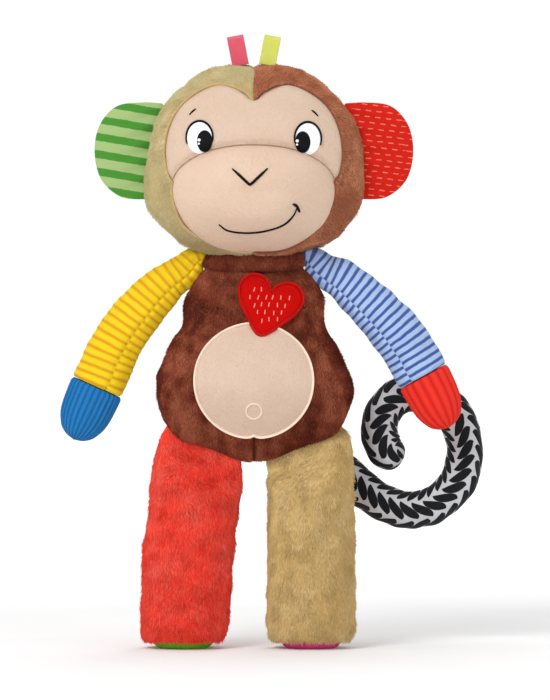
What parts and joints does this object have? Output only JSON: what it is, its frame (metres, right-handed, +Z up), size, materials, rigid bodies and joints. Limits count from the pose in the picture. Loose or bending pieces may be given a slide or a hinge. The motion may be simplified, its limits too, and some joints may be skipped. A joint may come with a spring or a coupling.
{
  "type": "stuffed toy monkey",
  "caption": "Upright stuffed baby monkey sewn from patchwork plush, with swinging limbs, curled tail, crinkle ears, ribbon loops, rattle and squeaker.",
  "frame": {"origin": "bottom centre of the bounding box, on the plane the soles stand on", "axes": "+Z up through the head; the face looks along -Y; +X is the side of the beige leg, striped arm and tail"},
  "size_m": [0.255, 0.1042, 0.3684],
  "materials": {
    "beige_plush": "short fluffy pile",
    "brown_plush": "short fluffy pile",
    "red_plush": "longer clumped pile",
    "flesh_velour": "smooth velour",
    "belly_velour": "smooth velour",
    "cream_thread": "satin stitch",
    "black_thread": "satin stitch",
    "white_thread": "satin stitch",
    "red_thread": "satin stitch",
    "green_stripe_cotton": "printed cotton, two-tone stripes",
    "red_dash_cotton": "printed cotton, small pale dashes",
    "pink_satin": "satin ribbon",
    "lime_satin": "satin ribbon",
    "yellow_jersey": "wide soft rib",
    "blue_corduroy": "wide-wale corduroy",
    "blue_stripe_jersey": "jersey, dark blue stripes",
    "red_rib": "ribbed jersey",
    "green_cotton": "matt",
    "pink_cotton": "matt",
    "leaf_print_cotton": "printed cotton, black leaves on light grey",
    "stuffing": "polyester fibre",
    "crinkle_film": "thin crackling film",
    "white_plastic": "moulded",
    "bead_plastic": "moulded"
  },
  "bodies": {
    "torso": {"torso_front_cover": "brown_plush", "torso_back_cover": "brown_plush", "torso_stuffing": "stuffing", "belly_patch": "belly_velour", "belly_patch_border": "cream_thread", "navel_stitch": "cream_thread", "heart_patch": "red_dash_cotton", "heart_border_stitch": "red_thread", "rattle_shell_front": "white_plastic", "rattle_shell_back": "white_plastic", "squeaker_base": "white_plastic", "squeaker_reed": "white_plastic", "tail_seam": "leaf_print_cotton"},
    "squeaker_button": {"squeaker_cap": "white_plastic"},
    "bead_1": {"rattle_bead_1": "bead_plastic"},
    "bead_2": {"rattle_bead_2": "bead_plastic"},
    "bead_3": {"rattle_bead_3": "bead_plastic"},
    "neck": {"neck_seam": "brown_plush"},
    "head": {"head_cover_beige": "beige_plush", "head_cover_brown": "brown_plush", "head_stuffing": "stuffing", "face_panel": "flesh_velour", "muzzle_panel": "flesh_velour", "left_eye_white": "white_thread", "left_eye_pupil": "black_thread", "left_eye_lid": "black_thread", "left_brow_stitch": "black_thread", "right_eye_white": "white_thread", "right_eye_pupil": "black_thread", "right_eye_lid": "black_thread", "right_brow_stitch": "black_thread", "nose_stitch": "black_thread", "smile_stitch": "black_thread"},
    "green_ear": {"green_ear_front": "green_stripe_cotton", "green_ear_crinkle_film": "crinkle_film", "green_ear_back": "green_stripe_cotton"},
    "red_ear": {"red_ear_front": "red_dash_cotton", "red_ear_crinkle_film": "crinkle_film", "red_ear_back": "red_dash_cotton"},
    "pink_ribbon": {"pink_ribbon_loop": "pink_satin"},
    "lime_ribbon": {"lime_ribbon_loop": "lime_satin"},
    "yellow_shoulder": {"yellow_arm_seam": "yellow_jersey"},
    "yellow_arm": {"yellow_arm_sleeve": "yellow_jersey", "blue_hand": "blue_corduroy", "yellow_arm_stuffing": "stuffing"},
    "striped_shoulder": {"striped_arm_seam": "blue_stripe_jersey"},
    "striped_arm": {"striped_arm_sleeve": "blue_stripe_jersey", "red_hand": "red_rib", "striped_arm_stuffing": "stuffing"},
    "red_leg": {"red_leg_cover": "red_plush", "red_leg_stuffing": "stuffing", "green_sole": "green_cotton"},
    "beige_leg": {"beige_leg_cover": "beige_plush", "beige_leg_stuffing": "stuffing", "pink_sole": "pink_cotton"},
    "tail": {"tail_cover": "leaf_print_cotton", "tail_stuffing": "stuffing"}
  },
  "joints": [
    {"name": "neck_turn", "type": "hinge", "parent": "torso", "child": "neck", "pos_m": [-0.0118, 0.002, 0.2338], "axis": [0, 0, 1], "range_deg": [-25, 25]},
    {"name": "neck_nod", "type": "hinge", "parent": "neck", "child": "head", "pos_m": [-0.0118, -0.001, 0.2346], "axis": [1, 0, 0], "range_deg": [-12, 20]},
    {"name": "green_ear_fold", "type": "hinge", "parent": "head", "child": "green_ear", "pos_m": [-0.0779, -0.001, 0.2986], "axis": [0, 0, 1], "range_deg": [-40, 40]},
    {"name": "red_ear_fold", "type": "hinge", "parent": "head", "child": "red_ear", "pos_m": [0.0542, -0.001, 0.2986], "axis": [0, 0, -1], "range_deg": [-40, 40]},
    {"name": "pink_ribbon_flop", "type": "hinge", "parent": "head", "child": "pink_ribbon", "pos_m": [-0.0201, -0.001, 0.3512], "axis": [1, 0, 0], "range_deg": [-25, 25]},
    {"name": "lime_ribbon_flop", "type": "hinge", "parent": "head", "child": "lime_ribbon", "pos_m": [-0.0036, -0.001, 0.3512], "axis": [1, 0, 0], "range_deg": [-25, 25]},
    {"name": "yellow_arm_swing", "type": "hinge", "parent": "torso", "child": "yellow_shoulder", "pos_m": [-0.0419, 0.002, 0.23], "axis": [-1, 0, 0], "range_deg": [-20, 80]},
    {"name": "yellow_arm_raise", "type": "hinge", "parent": "yellow_shoulder", "child": "yellow_arm", "pos_m": [-0.0419, 0.002, 0.23], "axis": [0, 1, 0], "range_deg": [-3, 38]},
    {"name": "striped_arm_swing", "type": "hinge", "parent": "torso", "child": "striped_shoulder", "pos_m": [0.0182, 0.002, 0.23], "axis": [-1, 0, 0], "range_deg": [0, 80]},
    {"name": "striped_arm_raise", "type": "hinge", "parent": "striped_shoulder", "child": "striped_arm", "pos_m": [0.0182, 0.002, 0.23], "axis": [0, -1, 0], "range_deg": [-3, 38]},
    {"name": "red_leg_swing", "type": "hinge", "parent": "torso", "child": "red_leg", "pos_m": [-0.0413, 0.002, 0.1108], "axis": [-1, 0, 0], "range_deg": [-20, 75]},
    {"name": "beige_leg_swing", "type": "hinge", "parent": "torso", "child": "beige_leg", "pos_m": [0.0177, 0.002, 0.1108], "axis": [-1, 0, 0], "range_deg": [0, 75]},
    {"name": "tail_swing", "type": "hinge", "parent": "torso", "child": "tail", "pos_m": [-0.0028, 0.0198, 0.133], "axis": [0, 0, 1], "range_deg": [0, 40]},
    {"name": "squeaker_press", "type": "slide", "parent": "torso", "child": "squeaker_button", "axis": [0, 1, 0], "range_m": [0, 0.005], "stiffness_N_per_m": 400},
    {"name": "bead_1_roll", "type": "hinge", "parent": "torso", "child": "bead_1", "pos_m": [-0.0118, -0.0027, 0.185], "axis": [0, 1, 0], "continuous": true},
    {"name": "bead_2_roll", "type": "hinge", "parent": "torso", "child": "bead_2", "pos_m": [-0.0118, 0.003, 0.185], "axis": [0, 1, 0], "continuous": true},
    {"name": "bead_3_roll", "type": "hinge", "parent": "torso", "child": "bead_3", "pos_m": [-0.0118, 0.0087, 0.185], "axis": [0, 1, 0], "continuous": true}
  ]
}
